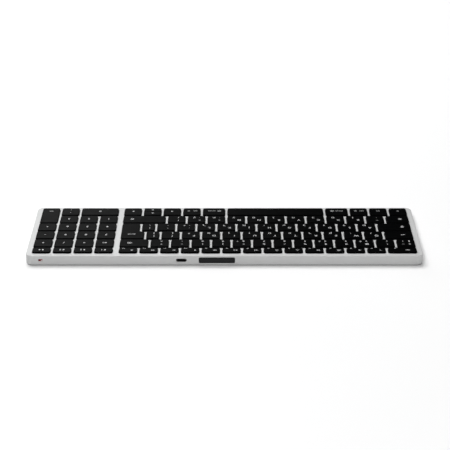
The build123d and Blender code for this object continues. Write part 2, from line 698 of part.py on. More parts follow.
def keycaps(node, outline, mechanisms, dome_spots):
    """One node of keycaps: outline(inset) draws their outer shape in the current sketch."""
    with BuildPart(DECK) as caps:
        with BuildSketch(DECK.offset(CAP_ABOVE)):
            outline(0)
        extrude(amount=-CAP_ABOVE - CAP_BELOW)
        fillet(caps.faces().group_by(DECK_NORMAL)[-1].edges(), CAP_EDGE)
        with BuildSketch(DECK.offset(CAP_CEILING)):
            outline(CAP_WALL)
        extrude(amount=-CAP_CEILING - CAP_BELOW, mode=Mode.SUBTRACT)
        # Seats for the domes and retainers for the upper ends of the levers
        with BuildSketch(DECK.offset(CAP_CEILING)):
            with Locations(*dome_spots):
                Circle(DOME_SEAT_RADIUS)
        extrude(amount=-DOME_SEAT)
        roomy = [m for m in mechanisms if retainer_reach(m) > 1.5]
        if roomy:
            with BuildSketch(DECK.offset(CAP_CEILING)):
                for mechanism in roomy:
                    room = inner_size(mechanism)[0] - 2 * LEVER_BAR - RETAINER_SIZE[0]
                    apart = min(RETAINER_SPACING, room - 2 * RETAINER_SIDE_GAP)
                    with Locations((mechanism.x, mechanism.y)):
                        with GridLocations(apart, 2 * retainer_reach(mechanism), 2, 2):
                            Rectangle(*RETAINER_SIZE)
            extrude(amount=-RETAINER_DROP)
    save(caps, node)


for node, keys in GRID.items():
    keycaps(
        node,
        lambda inset, keys=keys: rounded_keys(keys, KEY_SLIT + inset),
        MECHANISMS[node],
        [(key.x, key.y) for key in keys],
    )

keycaps(
    "return_key",
    lambda inset: return_outline(KEY_SLIT + inset),
    MECHANISMS["return_key"],
    [(RETURN_X, (return_low.y + return_high.y) / 2)],
)

for cap in (up_cap, down_cap):
    keycaps(
        cap.node,
        lambda inset, cap=cap: rounded_keys([cap], inset, HALF_KEY_RADIUS),
        MECHANISMS[cap.node],
        [(cap.x, cap.y)],
    )

# ---------------------------------------------------------------- rear fittings

with BuildPart() as usb_c_receptacle:
    mouth_plane = REAR_PLANE.offset(-USB_RECESS)
    with BuildSketch(mouth_plane):
        with Locations((-USB_X, USB_Z)):
            SlotOverall(*USB_SHELL)
    extrude(amount=-USB_DEPTH)
    with BuildSketch(mouth_plane):
        with Locations((-USB_X, USB_Z)):
            SlotOverall(*USB_MOUTH)
    extrude(amount=-USB_DEPTH + 0.8, mode=Mode.SUBTRACT)
    with BuildSketch(mouth_plane.offset(-0.9)):
        with Locations((-USB_X, USB_Z)):
            Rectangle(*USB_TONGUE)
    extrude(amount=-USB_DEPTH + 0.9)
save(usb_c_receptacle, "usb_c_receptacle")

with BuildPart() as antenna_window:
    with BuildSketch(REAR_PLANE.offset(-CASE_WALL)):
        with Locations((-WINDOW_X, WINDOW_Z)):
            pane = [side - 2 * WINDOW_GAP for side in WINDOW_SIZE]
            RectangleRounded(*pane, WINDOW_RADIUS - WINDOW_GAP)
    extrude(amount=CASE_WALL - WINDOW_GAP)
    with BuildSketch(REAR_PLANE.offset(-CASE_WALL)):
        with Locations((-WINDOW_X, WINDOW_Z)):
            Rectangle(WINDOW_SIZE[0] + 2.6, WINDOW_SIZE[1] + 0.2)
    extrude(amount=-WINDOW_FLANGE)
save(antenna_window, "antenna_window")

with BuildPart() as power_switch_housing:
    housing_face = REAR_PLANE.offset(-CASE_WALL - SWITCH_GAP / 2)
    with BuildSketch(housing_face):
        with Locations((-SWITCH_X, (BOARD_TOP + SWITCH_HOUSING_TOP) / 2)):
            Rectangle(SWITCH_HOUSING_WIDTH, SWITCH_HOUSING_TOP - BOARD_TOP)
    extrude(amount=-SWITCH_HOUSING_DEPTH)
    # Channel for the slider, open to the rear
    with BuildSketch(housing_face):
        with Locations((-SWITCH_X, SWITCH_Z)):
            Rectangle(SHUTTER_SIZE[0] + SWITCH_TRAVEL + 2 * SWITCH_GAP, SHUTTER_SIZE[1] + SWITCH_GAP)
    extrude(amount=-SHUTTER_THICKNESS - 2 * SWITCH_GAP, mode=Mode.SUBTRACT)
save(power_switch_housing, "power_switch_housing")

with BuildPart() as power_slider:
    knob_x = SWITCH_X - SWITCH_TRAVEL / 2
    with BuildSketch(REAR_PLANE.offset(-KNOB_RECESS)):
        with Locations((-knob_x, SWITCH_Z)):
            RectangleRounded(*KNOB_SIZE, 0.3)
    extrude(amount=KNOB_RECESS - CASE_WALL - SWITCH_GAP - SHUTTER_THICKNESS / 2)
    fillet(power_slider.faces().sort_by(Axis.Y)[-1].edges(), 0.15)
    with BuildSketch(REAR_PLANE.offset(-CASE_WALL - SWITCH_GAP)):
        with Locations((-knob_x, SWITCH_Z)):
            Rectangle(*SHUTTER_SIZE)
    extrude(amount=-SHUTTER_THICKNESS)
save(power_slider, "power_slider")

with BuildPart(DECK) as status_light_pipes:
    with BuildSketch(DECK):
        with Locations(*LIGHT_PIPES):
            Circle(LIGHT_PIPE_RADIUS)
    extrude(amount=-LIGHT_PIPE_DEPTH)
save(status_light_pipes, "status_light_pipes")

# ---------------------------------------------------------------- electronics

with BuildPart() as controller_board:
    board_middle = (sum(BOARD_X) / 2, sum(BOARD_Y) / 2)
    with BuildSketch(Plane.XY.offset(BOARD_Z)):
        with Locations(board_middle):
            RectangleRounded(BOARD_X[1] - BOARD_X[0], BOARD_Y[1] - BOARD_Y[0], 1)
        with Locations(*CASE_SCREWS):
            Circle(BOSS_RADIUS + 0.4, mode=Mode.SUBTRACT)
    extrude(amount=BOARD_THICKNESS)
    # Controller, radio module, charger, flash, coil and the two indicator lights
    chips = [
        (80, 49, 7, 7, 0.9),
        (20, 49, 12, 8, 1.2),
        (56, 48, 4, 4, 0.8),
        (96, 49, 5, 4, 0.8),
        (65, 52, 4, 3, 1.2),
    ]
    chips += [(x, y * cos(TILT), 1.6, 0.8, 0.6) for x, y in LIGHT_PIPES]
    for x, y, width, depth, height in chips:
        with BuildSketch(Plane.XY.offset(BOARD_TOP)):
            with Locations((x, min(y, BOARD_Y[1] - depth / 2))):
                Rectangle(width, depth)
        extrude(amount=height)
    # Battery connector under the board's left end
    with BuildSketch(Plane.XY.offset(BOARD_Z)):
        with Locations((BOARD_X[0] + BATTERY_PLUG[0] / 2, BOARD_LEAD_Y)):
            Rectangle(BATTERY_PLUG[0], BATTERY_PLUG[1])
    extrude(amount=-BATTERY_PLUG[2])
save(controller_board, "controller_board")

with BuildPart() as battery_pack:
    with BuildSketch(Plane.XY.offset(COVER_TOP)):
        with Locations(BATTERY_CENTRE):
            RectangleRounded(BATTERY_SIZE[0], BATTERY_SIZE[1], 2)
    extrude(amount=BATTERY_SIZE[2])
    fillet(battery_pack.faces().sort_by(Axis.Z)[-1].edges(), 0.8)
save(battery_pack, "battery_pack")

with BuildPart() as battery_lead:
    battery_end = BATTERY_CENTRE[0] + BATTERY_SIZE[0] / 2
    for offset in (-LEAD_SPACING / 2, LEAD_SPACING / 2):
        turn_x = (battery_end + BOARD_X[0]) / 2 - offset
        corners = [(battery_end, BATTERY_LEAD_Y + offset), (turn_x, BATTERY_LEAD_Y + offset)]
        corners += [(turn_x, BOARD_LEAD_Y + offset), (BOARD_X[0], BOARD_LEAD_Y + offset)]
        with BuildLine(Plane.XY.offset(LEAD_HEIGHT)):
            route = FilletPolyline(*corners, radius=3)
        with BuildSketch(Plane(origin=route @ 0, z_dir=route % 0)):
            Circle(LEAD_RADIUS)
        sweep(path=route)
save(battery_lead, "battery_lead")
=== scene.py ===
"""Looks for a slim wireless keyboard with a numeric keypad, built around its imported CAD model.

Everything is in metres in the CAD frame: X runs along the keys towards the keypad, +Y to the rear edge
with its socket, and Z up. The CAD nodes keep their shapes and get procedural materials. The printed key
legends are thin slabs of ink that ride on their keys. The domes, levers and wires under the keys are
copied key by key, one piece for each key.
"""

import json
import math

import bpy
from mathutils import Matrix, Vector


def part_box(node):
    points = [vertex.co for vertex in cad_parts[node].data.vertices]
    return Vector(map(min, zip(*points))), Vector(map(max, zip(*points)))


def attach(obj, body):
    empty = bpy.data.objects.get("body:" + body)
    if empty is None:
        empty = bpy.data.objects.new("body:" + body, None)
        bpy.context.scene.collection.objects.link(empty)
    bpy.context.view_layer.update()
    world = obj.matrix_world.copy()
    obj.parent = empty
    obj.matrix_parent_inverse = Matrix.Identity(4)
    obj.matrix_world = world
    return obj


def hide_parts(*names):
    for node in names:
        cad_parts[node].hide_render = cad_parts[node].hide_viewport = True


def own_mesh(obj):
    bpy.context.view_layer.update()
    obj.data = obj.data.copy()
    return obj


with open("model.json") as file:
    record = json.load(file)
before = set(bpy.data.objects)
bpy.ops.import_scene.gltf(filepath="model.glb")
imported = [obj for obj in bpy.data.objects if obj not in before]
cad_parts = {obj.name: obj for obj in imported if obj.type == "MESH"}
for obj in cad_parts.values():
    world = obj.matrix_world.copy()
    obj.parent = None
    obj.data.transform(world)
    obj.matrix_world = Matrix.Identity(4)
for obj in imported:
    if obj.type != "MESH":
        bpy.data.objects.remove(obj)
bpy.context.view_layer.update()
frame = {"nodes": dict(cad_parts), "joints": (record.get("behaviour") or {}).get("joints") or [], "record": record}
NODES = frame["nodes"]
SLOTS = {part["node"]: part["material_slot"] for part in frame["record"]["subparts"]}

MM = 0.001

# The deck's own axes: ACROSS to the user's right, ALONG up the slope to the rear, NORMAL out of the keys.
ACROSS = Vector((1, 0, 0))
NORMAL = -Vector(next(j["axis"] for j in frame["joints"] if j["name"] == "keypad_5_key_press")).normalized()
ALONG = NORMAL.cross(ACROSS)


# ---------------------------------------------------------------- camera and light

VIEW_DISTANCE = 1.5374
VIEW_ELEVATION = math.radians(24.89)
VIEW_TARGET = Vector((-0.00043, -0.0147, 0.00726))
LENS, SENSOR_WIDTH = 128.75, 36
CLIP = (0.01, 50)

WORLD_COLOUR, WORLD_STRENGTH = (0.9, 0.95, 1, 1), 0.01
FLOOR_HALF = 6.0

# Name, place, the point it faces, width and height, watts
LAMPS = (
    ("light_high", (0.45, -1.1, 2.15), (0, 0, 0), (2.2, 1.5), 57),
    ("light_keypad_side", (0.85, -1.9, 0.8), (0.1, 0, 0), (1.4, 1.0), 6),
    ("light_middle", (0.5, -1.9, 0.8), (0.1, 0, 0), (1.2, 1.0), 2),
    ("light_rear_fill", (0.2, 1.6, 1.52), (0, 0, 0), (1.6, 1.2), 27.5),
)


def turned_to(thing, point):
    """Turns a camera or light so that it looks at a point."""
    thing.rotation_euler = (Vector(point) - thing.location).to_track_quat("-Z", "Y").to_euler()


def camera():
    """The camera behind the rear edge, looking down over it at the keys."""
    data = bpy.data.cameras.new("camera")
    data.lens, data.sensor_width = LENS, SENSOR_WIDTH
    data.clip_start, data.clip_end = CLIP
    thing = bpy.data.objects.new("camera", data)
    bpy.context.scene.collection.objects.link(thing)
    back = Vector((0, math.cos(VIEW_ELEVATION), math.sin(VIEW_ELEVATION)))
    thing.location = VIEW_TARGET + VIEW_DISTANCE * back
    turned_to(thing, VIEW_TARGET)
    bpy.context.scene.camera = thing


def softbox(name, place, aim, size, watts):
    """A rectangular soft light."""
    data = bpy.data.lights.new(name, "AREA")
    data.shape, data.size, data.size_y = "RECTANGLE", *size
    data.energy = watts
    thing = bpy.data.objects.new(name, data)
    bpy.context.scene.collection.objects.link(thing)
    thing.location = place
    turned_to(thing, aim)


def studio():
    """White floor, one large high lamp and two low ones beyond the front edge, and a fill at the rear."""
    world = bpy.data.worlds.new("studio")
    world.use_nodes = True
    world.node_tree.nodes["Background"].inputs["Color"].default_value = WORLD_COLOUR
    world.node_tree.nodes["Background"].inputs["Strength"].default_value = WORLD_STRENGTH
    scene = bpy.context.scene
    scene.world = world
    scene.view_settings.view_transform = "Standard"
    scene.view_settings.look = "None"
    for lamp_facts in LAMPS:
        softbox(*lamp_facts)

    mesh = bpy.data.meshes.new("floor")
    corners = [(FLOOR_HALF * x, FLOOR_HALF * y, 0) for x, y in ((-1, -1), (1, -1), (1, 1), (-1, 1))]
    mesh.from_pydata(corners, [], [(0, 1, 2, 3)])
    floor = bpy.data.objects.new("floor", mesh)
    scene.collection.objects.link(floor)
    finish = Finish("floor_paper", (0.93, 0.93, 0.93), 0.9, specular=0.1)
    finish.vary(0.4, 0.01)
    mesh.materials.append(finish.material)


# ---------------------------------------------------------------- materials


# The switch's slot, just beyond its edges and from just under the wall's surface, and the dark red in it: the
# plate's own red, also painted on the slot's sides and as painted shade on the knob's upper half
SLOT_X = (166.4 * MM, 170.4 * MM)
SLOT_Z = (4.55 * MM, 6.75 * MM)
SLOT_DEPTHS = (2 * MM, 0.04 * MM)
SWITCH_RED_AND_SHADE = (0.3, 0.006, 0.014)
# The slider turns from red plate to pale knob between these distances from its front, and is pale below
# this height; above it the knob is painted dark red as painted shade at the top of the slot
PLATE_TO_KNOB = (1.15 * MM, 1.2 * MM)
KNOB_PAINTED_SHADE_ABOVE = 5.6 * MM
# The socket turns from black to steel between these distances from its middle height; the black is the tongue's
# own plastic and painted shade in the throat
TONGUE_AND_THROAT_SHADE_TO_SHELL = (0.0009, 0.001)


class Finish:
    """A procedural surface on a Principled shader, laid out in the object's own metres."""

    def __init__(self, name, colour, roughness, metallic=0.0, specular=0.5):
        self.material = bpy.data.materials.new(name)
        self.material.use_nodes = True
        self.nodes, self.links = self.material.node_tree.nodes, self.material.node_tree.links
        self.shader = self.nodes["Principled BSDF"]
        self.place = self.nodes.new("ShaderNodeTexCoord").outputs["Object"]
        self.colour, self.roughness = (*colour, 1), roughness
        self.set("Base Color", self.colour)
        self.set("Roughness", roughness)
        self.set("Metallic", metallic)
        self.set("Specular IOR Level", specular)
        self.material.diffuse_color = self.colour
        self.material.roughness, self.material.metallic = roughness, metallic

    def set(self, socket, value):
        """A constant on the shader."""
        self.shader.inputs[socket].default_value = value
        return self

    def node(self, kind, settings=(), inputs=()):
        """A new shader node, with links to its inputs where a socket is given and constants elsewhere."""
        node = self.nodes.new("ShaderNode" + kind)
        for key, value in dict(settings).items():
            setattr(node, key, value)
        for key, value in dict(inputs).items():
            if isinstance(value, bpy.types.NodeSocket):
                self.links.new(value, node.inputs[key])
            else:
                node.inputs[key].default_value = value
        return node

    def noise(self, size, detail=2.0, stretch=(1, 1, 1)):
        """Noise whose blobs are about size metres across, stretched along the given axes."""
        place = self.place
        if stretch != (1, 1, 1):
            inputs = {"Vector": place, "Scale": [1 / s for s in stretch]}
            place = self.node("Mapping", inputs=inputs).outputs[0]
        inputs = {"Vector": place, "Scale": 1 / size, "Detail": detail}
        return self.node("TexNoise", inputs=inputs).outputs["Fac"]

    def spread(self, factor, low, high, start=0.3, stop=0.7):
        """The factor between start and stop, laid over low to high."""
        inputs = {"Value": factor, "From Min": start, "From Max": stop, "To Min": low, "To Max": high}
        return self.node("MapRange", inputs=inputs).outputs["Result"]

    def blend(self, factor, one, other):
        """Colour one where the factor is 0, and the other where it is 1."""
        node = self.node("Mix", {"data_type": "RGBA"})
        self.links.new(factor, node.inputs[0])
        for socket, value in ((6, one), (7, other)):
            if isinstance(value, bpy.types.NodeSocket):
                self.links.new(value, node.inputs[socket])
            else:
                node.inputs[socket].default_value = value
        return node.outputs[2]

    def vary(self, size, share, wear=0.0):
        """Cloudy tone and gloss: share is how far the colour moves, wear how far the roughness does."""
        cloud = self.noise(size, 4)
        dark, light = ((*(c * (1 + way * share) for c in self.colour[:3]), 1) for way in (-1, 1))
        self.links.new(self.blend(self.spread(cloud, 0, 1), dark, light), self.shader.inputs["Base Color"])
        if wear:
            rough = self.spread(self.noise(size * 0.6, 5), self.roughness - wear, self.roughness + wear)
            self.links.new(rough, self.shader.inputs["Roughness"])
        return self

    def grain(self, size, height, strength=1.0, detail=2.0, stretch=(1, 1, 1)):
        """Fine relief, height metres deep."""
        return self.relief(self.noise(size, detail, stretch), height, strength)

    def relief(self, heights, height, strength=1.0):
        """Relief that is height metres deep from heights of 0 to 1, over any that is there already."""
        before = self.shader.inputs["Normal"].links
        inputs = {"Height": heights, "Distance": height, "Strength": strength}
        if before:
            inputs["Normal"] = before[0].from_socket
        bump = self.node("Bump", inputs=inputs)
        self.links.new(bump.outputs["Normal"], self.shader.inputs["Normal"])
        return self

    def axis(self, index):
        """The object's own X, Y or Z."""
        return self.node("SeparateXYZ", inputs={"Vector": self.place}).outputs[index]

    def beyond(self, value, edge, softness=0.00005):
        """0 below the edge and 1 above it."""
        return self.spread(value, 0, 1, edge - softness, edge + softness)

    def inside(self, low, high):
        """1 inside the box between two corners, and 0 outside it."""
        middle, half = (low + high) / 2, (high - low) / 2
        offset = self.node("VectorMath", {"operation": "SUBTRACT"}, {0: self.place, 1: middle}).outputs[0]
        offset = self.node("VectorMath", {"operation": "DIVIDE"}, {0: offset, 1: half}).outputs[0]
        offset = self.node("VectorMath", {"operation": "ABSOLUTE"}, {0: offset}).outputs[0]
        x, y, z = self.node("SeparateXYZ", inputs={"Vector": offset}).outputs
        most = self.node("Math", {"operation": "MAXIMUM"}, {0: x, 1: y}).outputs[0]
        most = self.node("Math", {"operation": "MAXIMUM"}, {0: most, 1: z}).outputs[0]
        return self.spread(most, 1, 0, 0.99, 1)

    def repaint(self, factor, colour):
        """The present base colour, and another where the factor is 1."""
        before = self.shader.inputs["Base Color"].links
        present = before[0].from_socket if before else self.colour
        self.links.new(self.blend(factor, present, (*colour, 1)), self.shader.inputs["Base Color"])
        return self


def case_aluminium():
    """Bead-blasted, clear-anodised aluminium: a matt silver with a very fine sparkle.

    The sides of the switch's slot are painted the dark red of the switch's plate, which makes the slot darker.
    """
    finish = Finish("case_aluminium", (0.54, 0.544, 0.543), 0.5, metallic=0.3, specular=0.3)
    finish.vary(0.03, 0.012, 0.02)
    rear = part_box("top_case")[1].y
    low, high = (Vector((x, rear - depth, z)) for x, depth, z in zip(SLOT_X, SLOT_DEPTHS, SLOT_Z))
    # The slot's sides are painted the switch plate's dark red, which darkens the slot.
    finish.repaint(finish.inside(low, high), SWITCH_RED_AND_SHADE)
    finish.grain(0.00022, 0.000006, 0.5)
    finish.grain(0.0009, 0.000004, 0.25)
    return finish.material


def key_plastic():
    """Black moulded caps with a fine satin texture."""
    finish = Finish("key_plastic", (0.001, 0.0011, 0.0012), 0.32, specular=0.01)
    finish.vary(0.012, 0.14, 0.03)
    finish.grain(0.00018, 0.000008, 0.35)
    return finish.material


def legend_ink():
    """White print, a little uneven at its own scale."""
    finish = Finish("legend_ink", (0.66, 0.665, 0.67), 0.5, specular=0.2)
    finish.vary(0.0006, 0.05, 0.05)
    finish.grain(0.0001, 0.000004, 0.3)
    return finish.material


def cover_plastic():
    """The dark cover underneath, spark-eroded all over."""
    finish = Finish("cover_plastic", (0.01, 0.0105, 0.011), 0.55, specular=0.25)
    finish.vary(0.02, 0.12, 0.05)
    finish.grain(0.0003, 0.00003, 0.6, 3)
    return finish.material


def foot_rubber():
    """Soft dark rubber with a fine bloom."""
    finish = Finish("foot_rubber", (0.03, 0.03, 0.031), 0.82, specular=0.25)
    finish.vary(0.004, 0.2, 0.06)
    finish.grain(0.0002, 0.00002, 0.7, 4)
    return finish.material


def screw_steel():
    """Blackened machine screws with turned rings."""
    finish = Finish("screw_steel", (0.16, 0.16, 0.165), 0.32, metallic=1)
    finish.vary(0.0008, 0.15, 0.06)
    finish.grain(0.00012, 0.000008, 0.5)
    return finish.material


def plate_steel():
    """Zinc-plated sheet: fine rolling lines and a faint spangle."""
    finish = Finish("plate_steel", (0.55, 0.56, 0.57), 0.34, metallic=1)
    finish.vary(0.005, 0.07, 0.06)
    finish.grain(0.00015, 0.000006, 0.5, 2, (40, 1, 1))
    return finish.material


def membrane_film():
    """Milky polyester with printed silver tracks running under the keys."""
    finish = Finish("membrane_film", (0.42, 0.45, 0.43), 0.3, specular=0.5)
    finish.vary(0.01, 0.05, 0.04)
    tracks = finish.node("TexWave", {"wave_type": "BANDS", "bands_direction": "Y"},
                         {"Vector": finish.place, "Scale": 90, "Distortion": 1.5, "Detail": 1}).outputs["Fac"]
    finish.repaint(finish.beyond(tracks, 0.86, 0.03), (0.5, 0.5, 0.52))
    finish.grain(0.0006, 0.00001, 0.3)
    return finish.material


def dome_rubber():
    """Milky silicone domes."""
    finish = Finish("dome_rubber", (0.62, 0.62, 0.6), 0.45, specular=0.4)
    finish.vary(0.002, 0.05, 0.05)
    finish.grain(0.0002, 0.000008, 0.4)
    finish.set("Subsurface Weight", 0.3).set("Subsurface Radius", (0.001, 0.001, 0.001))
    finish.set("Subsurface Scale", 0.5)
    return finish.material


def lever_plastic():
    """Natural acetal scissor levers, slightly waxy."""
    finish = Finish("lever_plastic", (0.7, 0.69, 0.65), 0.4, specular=0.45)
    finish.vary(0.003, 0.04, 0.05)
    finish.grain(0.00025, 0.000008, 0.4)
    return finish.material


def wire_steel():
    """Bright drawn spring wire."""
    finish = Finish("wire_steel", (0.6, 0.6, 0.6), 0.24, metallic=1)
    finish.vary(0.002, 0.06, 0.05)
    finish.grain(0.00008, 0.000004, 0.4, 2, (30, 1, 1))
    return finish.material


def board_laminate():
    """Dark solder mask with copper tracks showing through it."""
    finish = Finish("board_laminate", (0.006, 0.03, 0.018), 0.38, specular=0.5)
    finish.vary(0.004, 0.15, 0.05)
    cells = finish.node("TexVoronoi", {"feature": "DISTANCE_TO_EDGE"},
                        {"Vector": finish.place, "Scale": 700}).outputs["Distance"]
    finish.repaint(finish.spread(cells, 1, 0, 0.02, 0.04), (0.012, 0.06, 0.034))
    finish.relief(finish.spread(cells, 1, 0, 0.02, 0.05), 0.00002, 0.5)
    finish.grain(0.0002, 0.000006, 0.3)
    return finish.material


def battery_foil():
    """Aluminium-laminate pouch, slightly crumpled."""
    finish = Finish("battery_foil", (0.52, 0.53, 0.54), 0.34, metallic=0.9)
    finish.vary(0.012, 0.05, 0.06)
    finish.grain(0.008, 0.0002, 0.35, 5)
    finish.grain(0.0005, 0.00001, 0.4)
    return finish.material


def lead_sheath():
    """Black insulation on the battery lead."""
    finish = Finish("lead_sheath", (0.02, 0.02, 0.02), 0.45, specular=0.4)
    finish.vary(0.001, 0.2, 0.05)
    finish.grain(0.0002, 0.00001, 0.4)
    return finish.material


def socket_steel():
    """The socket's drawn shell, satin nickel; its tongue is black plastic, and its throat is painted black as
    painted shade.
    """
    finish = Finish("socket_steel", (0.16, 0.16, 0.165), 0.35, metallic=1)
    finish.vary(0.002, 0.08, 0.06)
    low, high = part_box("usb_c_receptacle")
    middle = (low.z + high.z) / 2
    near = finish.node("Math", {"operation": "SUBTRACT"}, {0: finish.axis(2), 1: middle}).outputs[0]
    near = finish.node("Math", {"operation": "ABSOLUTE"}, {0: near}).outputs[0]
    # Black near the middle height: the tongue's own colour, and painted shade inside the throat.
    finish.repaint(finish.spread(near, 1, 0, *TONGUE_AND_THROAT_SHADE_TO_SHELL), (0.004, 0.004, 0.004))
    finish.grain(0.0001, 0.000004, 0.4, 2, (1, 12, 1))
    return finish.material


def window_plastic():
    """The radio window's smooth dark plastic."""
    finish = Finish("window_plastic", (0.0085, 0.0092, 0.0095), 0.34, specular=0.15)
    finish.vary(0.006, 0.12, 0.03)
    finish.grain(0.0002, 0.000006, 0.35)
    return finish.material


def switch_plastic():
    """The switch housing behind the wall."""
    finish = Finish("switch_plastic", (0.02, 0.02, 0.02), 0.42, specular=0.3)
    finish.vary(0.0015, 0.15, 0.04)
    finish.grain(0.00015, 0.00001, 0.4)
    return finish.material


def slider_plastic():
    """The switch's knob, pale on its lower half and painted dark red on its upper half as painted shade at the top
    of the slot, and the red plate behind it that shows in the slot.
    """
    finish = Finish("slider_plastic", (0.82, 0.8, 0.79), 0.36, specular=0.5)
    finish.vary(0.0008, 0.04, 0.05)
    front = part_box("power_slider")[0].y
    plate, knob = (front + distance for distance in PLATE_TO_KNOB)
    finish.repaint(finish.spread(finish.axis(1), 1, 0, plate, knob), SWITCH_RED_AND_SHADE)
    # Painted shade: the knob's upper half takes the dark red, standing in for the shade at the top of the slot.
    finish.repaint(finish.beyond(finish.axis(2), KNOB_PAINTED_SHADE_ABOVE), SWITCH_RED_AND_SHADE)
    finish.grain(0.00012, 0.000008, 0.4)
    return finish.material


def light_pipe():
    """Smoked status lights."""
    finish = Finish("light_pipe", (0.11, 0.11, 0.11), 0.25, specular=0.5)
    finish.vary(0.0006, 0.1, 0.04)
    finish.set("Transmission Weight", 0.35)
    finish.grain(0.0001, 0.000004, 0.3)
    return finish.material


# ---------------------------------------------------------------- legends

INK_TOP = 0.02 * MM  # over the cap
INK_SUNK = 0.01 * MM  # into the cap
STROKE_GAIN = 0.03 * MM
CAPITAL_HEIGHT = 0.686  # of the font, as a share of its size
LETTERING = {}  # words and signs already made, by text and size

BIG, MEDIUM, SMALL, WORD, TINY = (size * MM for size in (4.5, 3.9, 3.2, 2.5, 1.8))


class Print:
    """The closed slabs of ink that make up one piece."""

    def __init__(self):
        self.vertices, self.faces = [], []

    def add(self, vertices, faces, origin):
        """A shape given along the deck's own axes, in metres."""
        first = len(self.vertices)
        for x, y, z in vertices:
            self.vertices.append(origin + x * ACROSS + y * ALONG + z * NORMAL)
        self.faces += [[first + i for i in face] for face in faces]

    def slab(self, outline, origin):
        """A flat shape, its outline counter-clockwise in millimetres."""
        count = len(outline)
        vertices = [(x * MM, y * MM, z) for z in (-INK_SUNK, INK_TOP) for x, y in outline]
        faces = [list(range(count))[::-1], list(range(count, 2 * count))]
        faces += [[i, (i + 1) % count, count + (i + 1) % count, count + i] for i in range(count)]
        self.add(vertices, faces, origin)

    def piece(self, name, body, material):
        """All the slabs as one piece that rides on a key."""
        mesh = bpy.data.meshes.new(name)
        mesh.from_pydata(self.vertices, [], self.faces)
        mesh.materials.append(material)
        thing = bpy.data.objects.new(name, mesh)
        bpy.context.scene.collection.objects.link(thing)
        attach(thing, body)


def lettering(text, size):
    """The vertices and faces of a word or sign, centred on the origin."""
    if (text, size) in LETTERING:
        return LETTERING[text, size]
    curve = bpy.data.curves.new("lettering", "FONT")
    curve.body, curve.size, curve.offset = text, size, STROKE_GAIN
    curve.resolution_u, curve.extrude = 3, (INK_TOP + INK_SUNK) / 2
    holder = bpy.data.objects.new("lettering", curve)
    mesh = bpy.data.meshes.new_from_object(holder)
    xs, ys = ([v.co[i] for v in mesh.vertices] for i in (0, 1))
    middle_x = (min(xs) + max(xs)) / 2
    middle_y = size * CAPITAL_HEIGHT / 2 if text.isalnum() else (min(ys) + max(ys)) / 2
    lift = (INK_TOP - INK_SUNK) / 2
    vertices = [(v.co.x - middle_x, v.co.y - middle_y, v.co.z + lift) for v in mesh.vertices]
    faces = [list(p.vertices) for p in mesh.polygons]
    bpy.data.objects.remove(holder)
    bpy.data.curves.remove(curve)
    bpy.data.meshes.remove(mesh)
    LETTERING[text, size] = vertices, faces
    return vertices, faces


# Outlines of signs are in millimetres from the sign's middle, counter-clockwise.


def bar(left, front, right, rear):
    """A rectangle."""
    return [(left, front), (right, front), (right, rear), (left, rear)]


def disc(x, y, radius, count=16):
    """A round dot."""
    turns = (2 * math.pi * i / count for i in range(count))
    return [(x + radius * math.cos(a), y + radius * math.sin(a)) for a in turns]


def band(x, y, radius, width, start, stop, count=8):
    """Part of a ring, from one angle to another in degrees."""
    turns = [math.radians(start + (stop - start) * i / count) for i in range(count + 1)]
    outer = [(x + (radius + width / 2) * math.cos(a), y + (radius + width / 2) * math.sin(a)) for a in turns]
    inner = [(x + (radius - width / 2) * math.cos(a), y + (radius - width / 2) * math.sin(a)) for a in turns]
    return outer + inner[::-1]


def wedge(x, way, size=1.5):
    """A triangle whose point faces right (way 1) or left (way -1), with its flat side at x."""
    points = [(x, -size / 2), (x + way * size, 0), (x, size / 2)]
    return points if way > 0 else points[::-1]


def sun(core, reach):
    """A disc with eight rays."""
    start, half = core + 0.35, 0.13
    rays = []
    for i in range(8):
        c, s = math.cos(math.pi * i / 4), math.sin(math.pi * i / 4)
        rays.append([
            (start * c + half * s, start * s - half * c),
            (reach * c + half * s, reach * s - half * c),
            (reach * c - half * s, reach * s + half * c),
            (start * c - half * s, start * s + half * c),
        ])
    return [disc(0, 0, core), *rays]


def lamp(core, reach):
    """A half sun over a line, for the key lights."""
    rays = [ray for ray in sun(core, reach)[1:] if sum(y for _, y in ray) > 0.5]
    return [band(0, -0.4, core, 0.3, 0, 180), bar(-1.6, -1.0, 1.6, -0.7), *rays]


def speaker(waves):
    """A horn with some waves on its right."""
    horn = [(-1.9, -0.5), (-1.3, -0.5), (-0.5, -1.2), (-0.5, 1.2), (-1.3, 0.5), (-1.9, 0.5)]
    return [horn] + [band(-0.6, 0, 0.9 + 0.75 * i, 0.3, -50, 50) for i in range(waves)]


def frame_of(left, front, right, rear, line=0.28):
    """An empty box, as its four sides."""
    return [bar(left, front, right, front + line), bar(left, rear - line, right, rear),
            bar(left, front + line, left + line, rear - line),
            bar(right - line, front + line, right, rear - line)]


